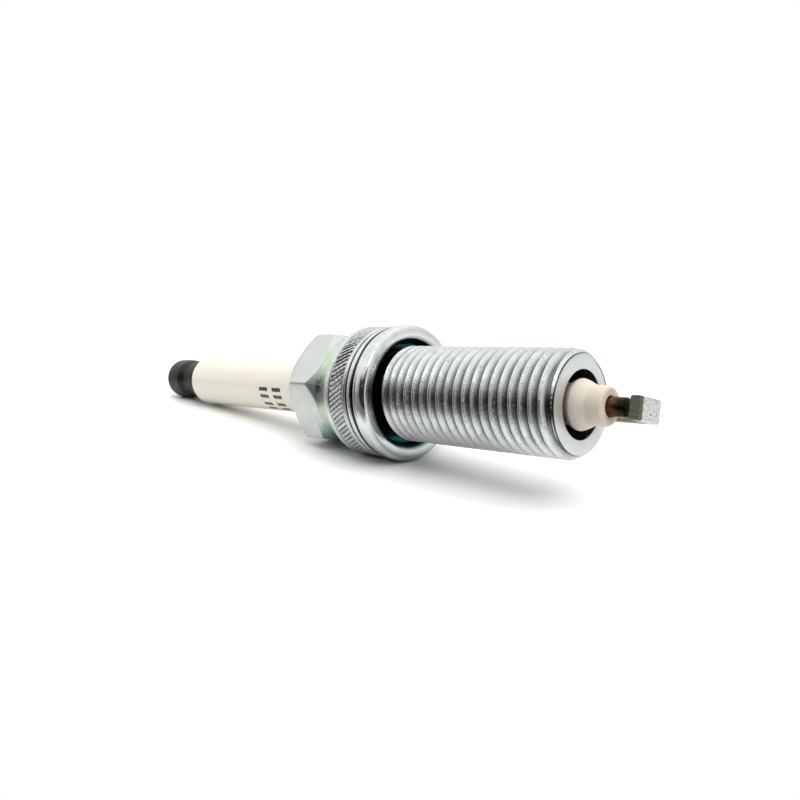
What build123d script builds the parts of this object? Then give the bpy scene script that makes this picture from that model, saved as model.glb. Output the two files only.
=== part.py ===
"""Resistor spark plug with an M12 x 1.25 thread, 26.5 mm reach and a 14 mm hexagon.

Millimetres. The plug's axis is X: the origin is on the shell's gasket shoulder, +X points to the
firing end and -X to the terminal. Turned pieces are (x, radius) outlines revolved about X.
"""

from build123d import *
from math import radians, sqrt, tan
import os

# Thread and shell
THREAD_R = 5.97
THREAD_PITCH = 1.25
THREAD_DEPTH = 0.767
THREAD_START = 2.3
THREAD_RUN_IN = 1.27
THREAD_RUN_OUT = 0.6
REACH = 26.5
FACE_R = 5.35
LEAD_CHAMFER = 0.9
RELIEF_R = 5.12
RELIEF_SLOPE = 0.6

# Collar: a smooth ring, a thin groove and a knurled band, which is left plain here
COLLAR_R = 8.45
COLLAR_FRONT_EDGE = 0.5
COLLAR_REAR_EDGE = 0.25
COLLAR_END = -5.3
RING_END = -1.0
RING_GROOVE = 0.35

# Hexagon and crimped rim
NECK_R = 6.8
NECK_END = -7.3
HEX_FLATS = 14.0
HEX_CORNER_R = 8.02
HEX_CORNER_ANGLE = 46.0
HEX_CONE_START = (-8.3, 6.9)
HEX_CONE_END = -9.45
HEX_REAR = -13.9
HEX_REAR_CHAMFER = 1.0
CRIMP_R = 6.45
CRIMP_REAR = -14.65
CRIMP_REAR_R = 4.9

# Bore of the shell
BORE_R = 3.68
LEDGE_X = 13.4
LEDGE_R = 3.25
LEDGE_LENGTH = 1.7
STEM_BORE_R = 4.22
BELLY_BORE_R = 5.12
BELLY_BORE_X = -2.4
CRIMP_MOUTH_R = 4.02

# Gasket
GASKET_R = 8.6
GASKET_HOLE_R = 6.5
GASKET_LIP_R = 5.4
GASKET_LENGTH = 2.05
GASKET_SHEET = 0.45
GASKET_LAND = 0.3
GASKET_REAR_R = 8.4
GASKET_CREASE_R = 8.3
GASKET_GAP = 0.03

# Insulator
NOSE_TIP_X = 29.75
NOSE_TIP_R = 2.12
NOSE_BULGE = [
    (28.0, 2.15),
    (27.3, 2.3),
    (26.9, 2.58),
    (26.4, 2.72),
    (25.9, 2.58),
    (25.5, 2.3),
    (24.9, 2.2),
]
NOSE_ROOT_R = 2.95
NOSE_EDGE = 0.45
STEM_R = 4.08
BELLY_R = 4.98
BELLY_REAR = -8.4
SHANK_R = 3.7
SHANK_END = -15.0
BARREL_R = 3.9
BARREL_END = -44.3
BARREL_EDGE = 0.35
ELECTRODE_BORE_R = 1.1
CORE_BORE_R = 1.9
CORE_BORE_X = 6.0

# Centre electrode, seal stack and stud
ELECTRODE_R = 1.05
ELECTRODE_TIP_X = 31.6
ELECTRODE_HEAD_R = 1.6
COPPER_R = 0.6
SEAL_R = 1.88
LOWER_SEAL_END = 0.4
RESISTOR_END = -8.0
UPPER_SEAL_END = -12.0
STUD_R = 1.55
STUD_FLANGE_R = 2.7
STUD_FLANGE = 0.7
STUD_THREAD_R = 1.94
STUD_THREAD_PITCH = 0.7
STUD_THREAD_DEPTH = 0.4
STUD_THREAD_LENGTH = 7.6

# Terminal nut
NUT_R = 3.175
NUT_NECK_R = 2.75
NUT_BORE_R = 2.02
NUT_TIP_X = -54.9

# Ground electrode
STRAP_WIDTH = 2.5
STRAP_THICK = 1.2
STRAP_LEG_R = 4.5
STRAP_OVERHANG = 1.0
SPARK_GAP = 0.65
STRAP_OUTER_BEND = 2.3
STRAP_EDGE = 0.22
STRAP_ANGLE = 164.0

# Packing between shell and insulator
WIRE_R = 0.5
WIRE_PITCH_R = 4.52
LOWER_WIRE_X = -10.0
UPPER_WIRE_X = -13.35
WASHER_THICK = 0.3


def turned(points):
    """A solid of revolution about X from its (x, radius) outline."""
    outline = Polygon(*points, align=None)
    return revolve(outline, Axis.X, 360)


def soften(solid, x, radius, size):
    """Rounds the circular edges of a turned solid that lie at x with that radius."""
    chosen = [
        e
        for e in solid.edges().filter_by(GeomType.CIRCLE)
        if abs(e.arc_center.X - x) < 1e-3 and abs(e.radius - radius) < 1e-3
    ]
    return fillet(chosen, size)


def thread_groove(major_r, pitch, depth, start, end):
    """The V-shaped tool that cuts a right-hand thread from start to end along X."""
    root_r = major_r - depth
    root_half = pitch / 14
    reach = depth + 0.15
    outer_half = root_half + reach * tan(radians(30))
    path = Helix(pitch=pitch, height=end - start, radius=root_r)
    section = Plane(origin=path @ 0, x_dir=(1, 0, 0), z_dir=path % 0) * Polygon(
        (0, -root_half),
        (reach, -outer_half),
        (reach, outer_half),
        (0, root_half),
        align=None,
    )
    groove = sweep(section, path=path, is_frenet=True)
    return Pos(start, 0, 0) * Rot(0, 90, 0) * groove


def shell_outside():
    """Thread, relief, shoulder, ring, groove, collar and neck, before the thread is cut."""
    groove_r = COLLAR_R - RING_GROOVE
    return turned(
        [
            (REACH, 0),
            (REACH, FACE_R),
            (REACH - LEAD_CHAMFER, THREAD_R),
            (THREAD_START, THREAD_R),
            (THREAD_START - RELIEF_SLOPE, RELIEF_R),
            (0, RELIEF_R),
            (0, COLLAR_R - COLLAR_FRONT_EDGE),
            (-COLLAR_FRONT_EDGE, COLLAR_R),
            (RING_END, COLLAR_R),
            (RING_END - 0.1, groove_r),
            (RING_END - RING_GROOVE, groove_r),
            (RING_END - RING_GROOVE - 0.1, COLLAR_R),
            (COLLAR_END + COLLAR_REAR_EDGE, COLLAR_R),
            (COLLAR_END, COLLAR_R - COLLAR_REAR_EDGE),
            (COLLAR_END, NECK_R),
            (NECK_END - 0.6, NECK_R),
            (NECK_END - 0.6, 0),
        ]
    )


def hexagon():
    """The hexagon, with a 45 degree cone in front that meets the neck, and a rear chamfer."""
    prism = extrude(
        Plane.YZ.offset(HEX_REAR)
        * RegularPolygon(HEX_FLATS / 2, 6, major_radius=False, rotation=HEX_CORNER_ANGLE),
        NECK_END - HEX_REAR,
    )
    envelope = turned(
        [
            (NECK_END, 0),
            (NECK_END, NECK_R),
            HEX_CONE_START,
            (HEX_CONE_END, HEX_CORNER_R),
            (HEX_REAR + HEX_REAR_CHAMFER, HEX_CORNER_R),
            (HEX_REAR, HEX_FLATS / 2 - 0.05),
            (HEX_REAR, 0),
        ]
    )
    return prism & envelope


def crimp_outside():
    """The rim behind the hexagon, rolled inwards over the upper wire ring."""
    return turned(
        [
            (HEX_REAR + 0.5, 0),
            (HEX_REAR + 0.5, CRIMP_R),
            (HEX_REAR - 0.3, CRIMP_R),
            (CRIMP_REAR + 0.3, (CRIMP_R + CRIMP_REAR_R) / 2),
            (CRIMP_REAR, CRIMP_REAR_R),
            (CRIMP_REAR, 0),
        ]
    )


def seat_x(radius):
    """Where the shell's 45 degree ledge lies at a radius."""
    return LEDGE_X - (radius - LEDGE_R)


def shell_inside():
    """The stepped bore: firing chamber, seat ledge, stem bore, belly bore and crimp mouth."""
    roof_x = UPPER_WIRE_X - WIRE_R - 0.05
    return turned(
        [
            (REACH + 1, 0),
            (REACH + 1, BORE_R),
            (LEDGE_X + LEDGE_LENGTH + 0.5, BORE_R),
            (LEDGE_X + LEDGE_LENGTH, LEDGE_R),
            (LEDGE_X, LEDGE_R),
            (seat_x(STEM_BORE_R), STEM_BORE_R),
            (BELLY_BORE_X + BELLY_BORE_R - STEM_BORE_R, STEM_BORE_R),
            (BELLY_BORE_X, BELLY_BORE_R),
            (roof_x + 0.35, BELLY_BORE_R),
            (roof_x, BELLY_BORE_R - 0.37),
            (roof_x, CRIMP_MOUTH_R),
            (CRIMP_REAR - 1, CRIMP_MOUTH_R),
            (CRIMP_REAR - 1, 0),
        ]
    )


def metal_shell():
    """The threaded shell. The relief is added back where the thread's run-in crosses it."""
    blank = shell_outside() + hexagon() + crimp_outside()
    groove = thread_groove(
        THREAD_R,
        THREAD_PITCH,
        THREAD_DEPTH,
        THREAD_START - THREAD_RUN_IN,
        REACH + THREAD_RUN_OUT,
    )
    relief = turned([(0.3, 0), (0.3, RELIEF_R), (THREAD_START, RELIEF_R), (THREAD_START, 0)])
    return (blank - groove + relief) - shell_inside()


def gasket():
    """A folded sheet washer: a thin lip behind, which keeps it on the plug, and a rolled rim."""
    fold_x = GASKET_GAP + GASKET_SHEET
    front_x = GASKET_GAP + GASKET_LENGTH
    roll_r = (GASKET_R - GASKET_HOLE_R - GASKET_LAND) / 2
    roll_x = front_x - roll_r
    outer_r = GASKET_R - roll_r
    inner_r = GASKET_HOLE_R + roll_r
    slant = roll_r * sqrt(0.5)
    lip = Polyline(
        (fold_x, GASKET_HOLE_R),
        (fold_x, GASKET_LIP_R),
        (GASKET_GAP, GASKET_LIP_R),
        (GASKET_GAP, GASKET_REAR_R - GASKET_SHEET / 2),
    )
    rear_edge = ThreePointArc(
        (GASKET_GAP, GASKET_REAR_R - GASKET_SHEET / 2),
        (GASKET_GAP + GASKET_SHEET / 2, GASKET_REAR_R),
        (fold_x, GASKET_CREASE_R),
    )
    top = Polyline(
        (fold_x, GASKET_CREASE_R),
        (fold_x, GASKET_REAR_R + 0.08),
        (roll_x - 0.2, GASKET_R),
        (roll_x, GASKET_R),
    )
    outer_roll = ThreePointArc(
        (roll_x, GASKET_R), (roll_x + slant, outer_r + slant), (front_x, outer_r)
    )
    land = Line((front_x, outer_r), (front_x, inner_r))
    inner_roll = ThreePointArc(
        (front_x, inner_r), (roll_x + slant, inner_r - slant), (roll_x, GASKET_HOLE_R)
    )
    inside = Line((roll_x, GASKET_HOLE_R), (fold_x, GASKET_HOLE_R))
    outline = lip + rear_edge + top + outer_roll + land + inner_roll + inside
    return revolve(make_face(outline), Axis.X, 360)


def insulator():
    """One ceramic body: swollen nose, seat cone, stem, belly, shank and barrel, with its bore."""
    seat = WASHER_THICK + 0.02
    outside = turned(
        [
            (NOSE_TIP_X, 0),
            (NOSE_TIP_X, NOSE_TIP_R),
            *NOSE_BULGE,
            (LEDGE_X + 3.0, NOSE_ROOT_R),
            (seat_x(NOSE_ROOT_R) - seat, NOSE_ROOT_R),
            (seat_x(STEM_R) - seat, STEM_R),
            (BELLY_BORE_X + 1.1, STEM_R),
            (BELLY_BORE_X - 0.1, BELLY_R),
            (BELLY_REAR, BELLY_R),
            (BELLY_REAR - 1.1, SHANK_R),
            (SHANK_END, SHANK_R),
            (SHANK_END - 0.2, BARREL_R),
            (BARREL_END, BARREL_R),
            (BARREL_END, 0),
        ]
    )
    outside = soften(outside, NOSE_TIP_X, NOSE_TIP_R, NOSE_EDGE)
    outside = soften(outside, BARREL_END, BARREL_R, BARREL_EDGE)
    bore = turned(
        [
            (NOSE_TIP_X + 1, 0),
            (NOSE_TIP_X + 1, ELECTRODE_BORE_R),
            (CORE_BORE_X + 0.8, ELECTRODE_BORE_R),
            (CORE_BORE_X, CORE_BORE_R),
            (BARREL_END - 1, CORE_BORE_R),
            (BARREL_END - 1, 0),
        ]
    )
    return outside - bore


def seat_washer():
    """The sheet washer between the shell's ledge and the insulator's seat cone."""
    inner, outer = LEDGE_R + 0.05, STEM_R - 0.01
    front = [(seat_x(r) - 0.01, r) for r in (inner, outer)]
    rear = [(seat_x(r) - 0.01 - WASHER_THICK, r) for r in (outer, inner)]
    return turned(front + rear)


def wire_ring(x):
    """One of the two wire rings that hold the powder in."""
    return Pos(x, 0, 0) * Rot(0, 90, 0) * Torus(WIRE_PITCH_R, WIRE_R)


def talc_packing():
    """The powder that fills the space between the two wire rings."""
    front, rear = LOWER_WIRE_X - WIRE_R - 0.02, UPPER_WIRE_X + WIRE_R + 0.02
    inner, outer = SHANK_R + 0.02, BELLY_BORE_R - 0.02
    return turned([(front, inner), (front, outer), (rear, outer), (rear, inner)])


def centre_electrode():
    """The nickel electrode, with a head that hangs on the insulator's step and a crown."""
    outside = turned(
        [
            (ELECTRODE_TIP_X, 0),
            (ELECTRODE_TIP_X, ELECTRODE_R),
            (CORE_BORE_X + 0.75, ELECTRODE_R),
            (CORE_BORE_X + 0.15, ELECTRODE_HEAD_R),
            (CORE_BORE_X - 0.9, ELECTRODE_HEAD_R),
            (CORE_BORE_X - 1.3, 1.0),
            (CORE_BORE_X - 2.9, 0.9),
            (CORE_BORE_X - 2.9, 0),
        ]
    )
    outside = soften(outside, ELECTRODE_TIP_X, ELECTRODE_R, 0.12)
    return outside - copper_core()


def copper_core():
    """The copper that carries heat up the centre electrode."""
    return turned(
        [
            (ELECTRODE_TIP_X - 3.0, 0),
            (ELECTRODE_TIP_X - 3.4, COPPER_R),
            (CORE_BORE_X - 2.9, COPPER_R),
            (CORE_BORE_X - 2.9, 0),
        ]
    )


def seal(front, rear):
    """A plug of material that fills the insulator's bore."""
    return turned([(front, 0), (front, SEAL_R), (rear, SEAL_R), (rear, 0)])


def lower_glass_seal():
    """The conductive glass fused round the electrode's crown."""
    return seal(CORE_BORE_X - 0.95, LOWER_SEAL_END) - centre_electrode() - copper_core()


def resistor():
    """The fused suppressor resistor between the two seals."""
    return seal(LOWER_SEAL_END, RESISTOR_END)


def upper_glass_seal():
    """The conductive glass fused round the stud's foot."""
    return seal(RESISTOR_END, UPPER_SEAL_END) - terminal_stud()


def terminal_stud():
    """The steel stud: foot in the upper seal, shank, flange on the barrel's end, M4 thread."""
    flange_rear = BARREL_END - STUD_FLANGE
    end = flange_rear - STUD_THREAD_LENGTH
    body = turned(
        [
            (UPPER_SEAL_END + 2.6, 0),
            (UPPER_SEAL_END + 2.3, 1.2),
            (UPPER_SEAL_END - 2.0, 1.2),
            (UPPER_SEAL_END - 2.6, STUD_R),
            (BARREL_END, STUD_R),
            (BARREL_END, STUD_FLANGE_R),
            (flange_rear, STUD_FLANGE_R),
            (flange_rear, STUD_THREAD_R - 0.35),
            (flange_rear - 0.6, STUD_THREAD_R - 0.35),
            (flange_rear - 0.95, STUD_THREAD_R),
            (end + 0.4, STUD_THREAD_R),
            (end, STUD_THREAD_R - 0.4),
            (end, 0),
        ]
    )
    groove = thread_groove(
        STUD_THREAD_R, STUD_THREAD_PITCH, STUD_THREAD_DEPTH, end - 0.6, flange_rear - 0.6
    )
    return body - groove


def terminal_nut():
    """The bulb-headed nut, screwed on to the stud against its flange."""
    base = BARREL_END - STUD_FLANGE
    nut = turned(
        [
            (base, 0),
            (base, NUT_R - 0.3),
            (base - 0.3, NUT_R - 0.02),
            (base - 1.2, NUT_R - 0.02),
            (base - 1.9, NUT_NECK_R),
            (base - 3.8, NUT_NECK_R),
            (base - 5.0, NUT_R),
            (base - 8.0, NUT_R),
            (base - 9.2, NUT_R - 0.75),
            (NUT_TIP_X, NUT_R - 1.5),
            (NUT_TIP_X, 0),
        ]
    )
    bore_end = base - STUD_THREAD_LENGTH - 0.5
    bore = turned(
        [(base + 1, 0), (base + 1, NUT_BORE_R), (bore_end, NUT_BORE_R), (bore_end - 0.6, 0)]
    )
    return nut - bore


def ground_electrode():
    """The side strap: a leg welded to the shell's face, bent over the centre electrode."""
    inner_x = ELECTRODE_TIP_X + SPARK_GAP
    outer_x = inner_x + STRAP_THICK
    leg_out = -STRAP_LEG_R - STRAP_THICK / 2
    leg_in = -STRAP_LEG_R + STRAP_THICK / 2
    outline = Polygon(
        (REACH, leg_out),
        (outer_x, leg_out),
        (outer_x, STRAP_OVERHANG),
        (inner_x, STRAP_OVERHANG),
        (inner_x, leg_in),
        (REACH, leg_in),
        align=None,
    )
    inner_bend = STRAP_OUTER_BEND - STRAP_THICK
    for x, y, radius in ((outer_x, leg_out, STRAP_OUTER_BEND), (inner_x, leg_in, inner_bend)):
        corner = outline.vertices().sort_by_distance((x, y, 0))[0]
        outline = fillet(corner, radius)
    strap = extrude(outline, STRAP_WIDTH / 2, both=True)
    long_edges = [e for e in strap.edges() if abs(abs(e.center().Z) - STRAP_WIDTH / 2) < 1e-6]
    running = [e for e in long_edges if abs(e.center().X - REACH) > 1e-3]
    strap = fillet(running, STRAP_EDGE)
    return Rot(STRAP_ANGLE, 0, 0) * strap


PIECES = {
    "metal_shell": metal_shell,
    "gasket": gasket,
    "insulator": insulator,
    "seat_washer": seat_washer,
    "lower_wire_ring": lambda: wire_ring(LOWER_WIRE_X),
    "upper_wire_ring": lambda: wire_ring(UPPER_WIRE_X),
    "talc_packing": talc_packing,
    "centre_electrode": centre_electrode,
    "copper_core": copper_core,
    "lower_glass_seal": lower_glass_seal,
    "resistor": resistor,
    "upper_glass_seal": upper_glass_seal,
    "terminal_stud": terminal_stud,
    "terminal_nut": terminal_nut,
    "ground_electrode": ground_electrode,
}


def main():
    os.makedirs("parts", exist_ok=True)
    for name, make in PIECES.items():
        export_step(make(), f"parts/{name}.step")


main()
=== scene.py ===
"""Looks of the spark plug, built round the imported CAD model.

Lengths in this file are millimetres unless a name says otherwise, and MM turns them into metres.
The plug's axis is X, with the gasket shoulder at x = 0 and the firing end at +X. Angles round the
axis are measured from +Y towards +Z. In the names below, R is a distance from the axis, and X, FRONT,
REAR, END and TIP are places along it.
"""

import math

import bmesh
import bpy
import numpy as np
from mathutils import Matrix, Vector


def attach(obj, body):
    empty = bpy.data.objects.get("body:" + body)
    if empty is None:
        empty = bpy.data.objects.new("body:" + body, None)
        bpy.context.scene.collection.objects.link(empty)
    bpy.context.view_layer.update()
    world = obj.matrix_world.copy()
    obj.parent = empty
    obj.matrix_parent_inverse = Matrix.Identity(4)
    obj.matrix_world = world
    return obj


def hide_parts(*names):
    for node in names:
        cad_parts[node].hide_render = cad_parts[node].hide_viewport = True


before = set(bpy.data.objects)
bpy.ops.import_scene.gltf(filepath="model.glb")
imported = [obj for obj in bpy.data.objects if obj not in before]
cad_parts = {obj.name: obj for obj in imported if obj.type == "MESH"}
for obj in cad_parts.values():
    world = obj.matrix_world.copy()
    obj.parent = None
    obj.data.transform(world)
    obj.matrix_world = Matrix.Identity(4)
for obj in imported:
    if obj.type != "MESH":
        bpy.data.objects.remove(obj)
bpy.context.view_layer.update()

MM = 0.001
TURN = 2 * math.pi
WELD_M = 2e-7

# How finely the turned pieces are divided round the axis
COLUMNS = 300
GASKET_COLUMNS = 320
INSULATOR_COLUMNS = 224
ELECTRODE_COLUMNS = 96
NUT_COLUMNS = 160

# Thread: drops below the crest are given at axial offsets from the crest's middle
THREAD_R = 5.97
THREAD_PITCH = 1.25
THREAD_DEPTH = 0.767
THREAD_CREST_X = 25.05
CREST_ANGLE = math.radians(168.5)
CREST_OFFSETS = (0, 0.085, 0.13, 0.52, THREAD_PITCH / 2)
CREST_DROPS = (0, 0.012, 0.065, 0.742, THREAD_DEPTH)
DENT_COUNT = 46
DENT_SEED = 11

# Shell
REACH = 26.5
FACE_R = 5.35
FACE_EDGE = 0.1
LEAD_CHAMFER = 0.9
RELIEF_R = 5.12
RELIEF_END = 1.7
RELIEF_SLOPE_END = 2.3
BORE_R = 3.68
COLLAR_R = 8.45
COLLAR_END = -5.3
COLLAR_FRONT_R = COLLAR_R - 0.02
GROOVE_R = COLLAR_R - 0.35
GROOVE_FRONT = -1.1
GROOVE_REAR = -1.35
NECK_R = 6.8
NECK_END = -7.3
HEX_FLATS = 14.0
HEX_CORNER_R = 8.03
HEX_CORNER_ANGLE = math.radians(46.0)
HEX_FRONT = -8.45
HEX_REAR = -13.9
HEX_REAR_SLOPE = 0.93
HEX_BEVEL = 0.1
HEX_SOFTNESS = 0.03
BELLY_BORE_R = 5.12
STEM_BORE_R = 4.22
LEDGE_R = 3.25
LEDGE_X = 13.4
CRIMP_REAR = -14.65
CRIMP_R = 4.05

# Diagonal knurl on the collar
KNURL_STROKES = 88
KNURL_FRONT = -1.75
KNURL_REAR = -4.35
KNURL_SLANT = math.radians(30)
KNURL_HEIGHT = 0.2
KNURL_SINK = 0.07
KNURL_RINGS = 22
STROKE_SEED = 5

# Gasket
GASKET_R = 8.6
GASKET_HOLE_R = 6.5
GASKET_LIP_R = 5.4
GASKET_REAR = 0.03
GASKET_FRONT = 2.08
GASKET_SHEET = 0.45

# Insulator
NOSE_TIP_X = 29.75
NOSE_TIP_R = 2.12
NOSE_BORE_R = 1.1
CONE_R = 2.95
STEM_R = 4.08
BELLY_R = 4.98
SHANK_R = 3.7
BARREL_R = 3.9
BARREL_END = -44.3
BARREL_BORE_R = 1.9

# Printed bars on the barrel, in millimetres and degrees
BAR_ROWS = (-21.3, -24.4)
BAR_LENGTH = 2.0
BAR_ANGLES = (181, 197, 217, 233, 253, 269)
BAR_HALF_ANGLE = 4.2

# Electrodes
ELECTRODE_R = 1.05
ELECTRODE_HEAD_R = 1.6
ELECTRODE_TIP_X = 31.6
CORE_R = 0.6
SPARK_GAP = 0.65
STRAP_WIDTH = 2.5
STRAP_THICK = 1.2
STRAP_LEG_R = 4.5
STRAP_OVERHANG = 1.0
STRAP_BEND = 2.3
STRAP_ANGLE = math.radians(164)
STRAP_EDGE_R = 0.22
STRAP_FLARE = 0.16
STRAP_FLARE_RUN = 0.22
STRAP_PINCH = 0.06
STRAP_UNEVENNESS = 0.006
STRAP_SEED = 3

# Terminal nut
NUT_R = 3.175
NUT_FRONT = -45.0
NUT_TIP = -54.9
NUT_BORE_R = 2.02
NUT_MOUTH_R = NUT_BORE_R + 0.25
NUT_NECK_R = 2.75

# Where the plug touches the floor, and the floor's two ends from there
GASKET_TOUCH_X = 1.1
NUT_TOUCH_X = -52.0
FLOOR_FRONT_M = 0.045
FLOOR_FAR_M = 4.0

# Camera: its place, the direction it looks in, and its lens and sensor
CAMERA_PLACE = Vector((69.96, -70.18, 14.23))
CAMERA_FORWARD = Vector((-0.6992, 0.6987, -0.1515))
CAMERA_LENS = 35.3
CAMERA_SENSOR = 36.0


# ---------------------------------------------------------------- mesh tools


class Skin:
    """Collects points and faces in millimetres and makes one welded object of them."""

    def __init__(self):
        self.points = []
        self.faces = []
        self.marks = []
        self.count = 0

    def add(self, points):
        """Adds an (n, 3) array of points and returns their indices."""
        start = self.count
        self.points.append(np.asarray(points, float))
        self.count += len(points)
        return np.arange(start, self.count)

    def quads(self, a, b, c, d, mark=0):
        self.faces.extend(zip(a.tolist(), b.tolist(), c.tolist(), d.tolist()))
        self.marks.extend([mark] * len(a))

    def triangles(self, a, b, c, mark=0):
        self.faces.extend(zip(a.tolist(), b.tolist(), c.tolist()))
        self.marks.extend([mark] * len(a))

    def band(self, first, second, mark=0):
        """Joins two rings, one of which may have twice the other's points, or be one point."""
        if len(first) == 1 or len(second) == 1:
            self.fan(first, second, mark)
        elif len(first) == len(second):
            self.quads(first, np.roll(first, -1), np.roll(second, -1), second, mark)
        elif len(second) == 2 * len(first):
            self.split_band(first, second, mark)
        else:
            self.split_band(second, first, mark)

    def fan(self, first, second, mark):
        tip, ring = (first, second) if len(first) == 1 else (second, first)
        self.triangles(ring, np.roll(ring, -1), np.repeat(tip, len(ring)), mark)

    def split_band(self, coarse, fine, mark):
        even, odd = fine[0::2], fine[1::2]
        ahead = np.roll(coarse, -1)
        self.triangles(coarse, odd, even, mark)
        self.triangles(coarse, ahead, odd, mark)
        self.triangles(ahead, np.roll(even, -1), odd, mark)

    def rings(self, rings, mark=0):
        """Adds rings of points and joins each to the next; returns the first and the last."""
        placed = [self.add(r) for r in rings]
        for first, second in zip(placed, placed[1:]):
            self.band(first, second, mark)
        return placed[0], placed[-1]

    def make(self, name, body, materials, stands_for, sharp=38):
        """Makes the welded piece and gives it to its body.

        It is shaded smooth, but for edges that turn by more than the angle sharp, in degrees.
        """
        mesh = bpy.data.meshes.new(name)
        mesh.from_pydata((np.vstack(self.points) * MM).tolist(), [], self.faces)
        for material in materials:
            mesh.materials.append(material)
        mesh.polygons.foreach_set("material_index", self.marks)
        work = bmesh.new()
        work.from_mesh(mesh)
        bmesh.ops.remove_doubles(work, verts=work.verts, dist=WELD_M)
        bmesh.ops.dissolve_degenerate(work, edges=work.edges, dist=WELD_M)
        bmesh.ops.recalc_face_normals(work, faces=work.faces)
        work.to_mesh(mesh)
        work.free()
        mesh.polygons.foreach_set("use_smooth", [True] * len(mesh.polygons))
        mesh.set_sharp_from_angle(angle=math.radians(sharp))
        piece = bpy.data.objects.new(name, mesh)
        bpy.context.scene.collection.objects.link(piece)
        weigh = piece.modifiers.new("weighted_normals", "WEIGHTED_NORMAL")
        weigh.keep_sharp = True
        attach(piece, body)
        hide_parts(*stands_for)
        return piece


def angles(count):
    """Evenly spaced angles round the axis, starting at one corner of the hexagon."""
    return HEX_CORNER_ANGLE + TURN * np.arange(count) / count


def ring(x, r, count):
    """One ring round the axis; x and r may vary with the angle."""
    a = angles(count)
    across = np.broadcast_to(r, a.shape)
    return np.column_stack([np.broadcast_to(x, a.shape), across * np.cos(a), across * np.sin(a)])


def rounded(corners, steps=4):
    """An (x, r) outline whose corners (x, r, radius) are rounded by arcs of that radius."""
    out = [corners[0][:2]]
    for before, here, after in zip(corners, corners[1:], corners[2:]):
        out.extend(arc_at(before, here, after, steps))
    out.append(corners[-1][:2])
    return out


def arc_at(before, here, after, steps):
    """The points of one rounded corner, or the corner itself where its radius is 0."""
    radius = here[2] if len(here) > 2 else 0
    corner = np.array(here[:2], float)
    back = np.array(before[:2], float) - corner
    ahead = np.array(after[:2], float) - corner
    back_run, ahead_run = np.linalg.norm(back), np.linalg.norm(ahead)
    back, ahead = back / back_run, ahead / ahead_run
    half = math.acos(max(-1, min(1, float(back @ ahead)))) / 2
    if radius == 0 or half > math.radians(89):
        return [tuple(corner)]
    trim = min(radius / math.tan(half), 0.49 * back_run, 0.49 * ahead_run)
    radius = trim * math.tan(half)
    middle = back + ahead
    centre = corner + middle / np.linalg.norm(middle) * radius / math.sin(half)
    start = corner + back * trim - centre
    end = corner + ahead * trim - centre
    sweep = math.atan2(start[0] * end[1] - start[1] * end[0], float(start @ end))
    points = []
    for k in range(steps + 1):
        turn = sweep * k / steps
        c, s = math.cos(turn), math.sin(turn)
        points.append(
            (centre[0] + c * start[0] - s * start[1], centre[1] + s * start[0] + c * start[1])
        )
    return points


def turned(outline, count):
    """Rings for an (x, r) outline; a point on the axis becomes a single point."""
    return [
        np.array([[x, 0.0, 0.0]]) if r < 1e-6 else ring(x, r, count) for x, r in outline
    ]


def smooth(t):
    """0 to 1 with a flat start and end."""
    t = np.clip(t, 0, 1)
    return t * t * (3 - 2 * t)


# ---------------------------------------------------------------- materials


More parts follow.
